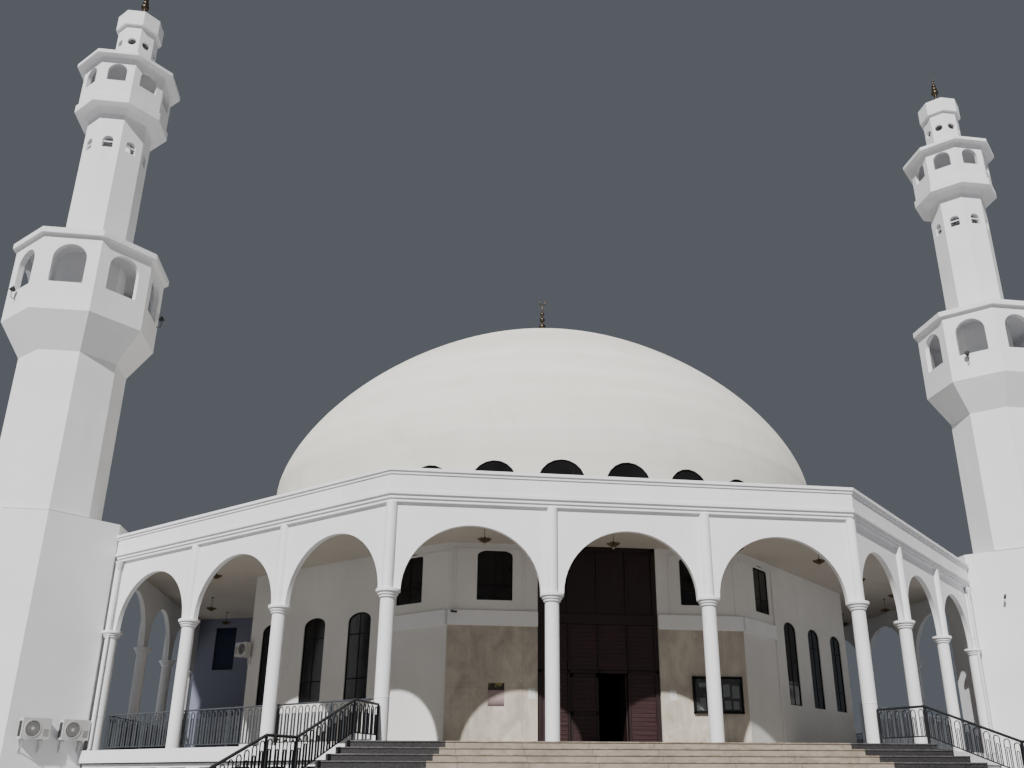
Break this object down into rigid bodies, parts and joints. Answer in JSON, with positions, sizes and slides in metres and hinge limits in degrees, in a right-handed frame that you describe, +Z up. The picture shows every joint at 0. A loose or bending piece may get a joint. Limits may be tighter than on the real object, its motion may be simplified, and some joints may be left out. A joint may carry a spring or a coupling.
{
  "type": "domed mosque building, 1:2 scale model",
  "caption": "Domed mosque with an eight-sided arcaded gallery round a hollow hall, a wide front stair, tall minarets and a hinged double door.",
  "frame": {"origin": "on the ground, on the underside of the ground slab, under the centre of the hall", "axes": "+X to the right seen from the front, +Y to the back, +Z up; the entrance and the stair face -Y"},
  "size_m": [21.3256, 20.3838, 17.1446],
  "materials": {
    "white_plaster": "painted render, matt",
    "dome_plaster": "weathered cream coating, matt",
    "concrete": "smooth concrete",
    "stair_stone": "honed stone",
    "dark_iron": "dark paint, semi-gloss",
    "bronze": "dark bronze, satin",
    "door_timber": "dark stained timber, satin",
    "dark_glass": "dark tinted glass"
  },
  "bodies": {
    "building": {"podium_wall": "white_plaster", "arcade_front": "white_plaster", "arcade_left_front": "white_plaster", "arcade_left_side": "white_plaster", "arcade_left_rear": "white_plaster", "arcade_right_front": "white_plaster", "arcade_right_side": "white_plaster", "arcade_right_rear": "white_plaster", "arcade_back": "white_plaster", "cornice_and_parapet": "white_plaster", "hall_wall_front_left": "white_plaster", "hall_wall_front_right": "white_plaster", "hall_wall_left_front": "white_plaster", "hall_wall_right_front": "white_plaster", "hall_wall_left_side": "white_plaster", "hall_wall_left_rear": "white_plaster", "hall_wall_back": "white_plaster", "hall_wall_right_rear": "white_plaster", "hall_wall_right_side": "white_plaster", "gallery_cross_wall": "white_plaster", "minaret_left_base": "white_plaster", "minaret_left_lower_shaft": "white_plaster", "minaret_left_lower_gallery": "white_plaster", "minaret_left_upper_shaft": "white_plaster", "minaret_left_upper_gallery": "white_plaster", "minaret_left_lantern": "white_plaster", "minaret_right_base": "white_plaster", "minaret_right_lower_shaft": "white_plaster", "minaret_right_lower_gallery": "white_plaster", "minaret_right_upper_shaft": "white_plaster", "minaret_right_upper_gallery": "white_plaster", "minaret_right_lantern": "white_plaster", "dome": "dome_plaster", "ground_slab": "concrete", "main_floor": "concrete", "gallery_roof": "concrete", "stair_upper_flight": "stair_stone", "stair_lower_flight": "stair_stone", "stair_railing_left": "dark_iron", "stair_railing_right": "dark_iron", "gallery_railing_left": "dark_iron", "gallery_railing_right": "dark_iron", "gallery_railing_back": "dark_iron", "dome_finial": "bronze", "minaret_left_finial": "bronze", "minaret_right_finial": "bronze", "door_screen": "door_timber", "hall_window_glass": "dark_glass", "basement_window_glass": "dark_glass", "dome_window_glass": "dark_glass", "cross_wall_glass": "dark_glass"},
    "door_leaf_left": {"door_leaf_left": "door_timber"},
    "door_leaf_right": {"door_leaf_right": "door_timber"}
  },
  "joints": [
    {"name": "door_hinge_left", "type": "hinge", "parent": "building", "child": "door_leaf_left", "pos_m": [-0.44942, -5.6626, 1.2972], "axis": [0, 0, 1], "range_deg": [0, 90]},
    {"name": "door_hinge_right", "type": "hinge", "parent": "building", "child": "door_leaf_right", "pos_m": [0.44942, -5.6626, 1.2972], "axis": [0, 0, 1], "range_deg": [0, 90]}
  ]
}
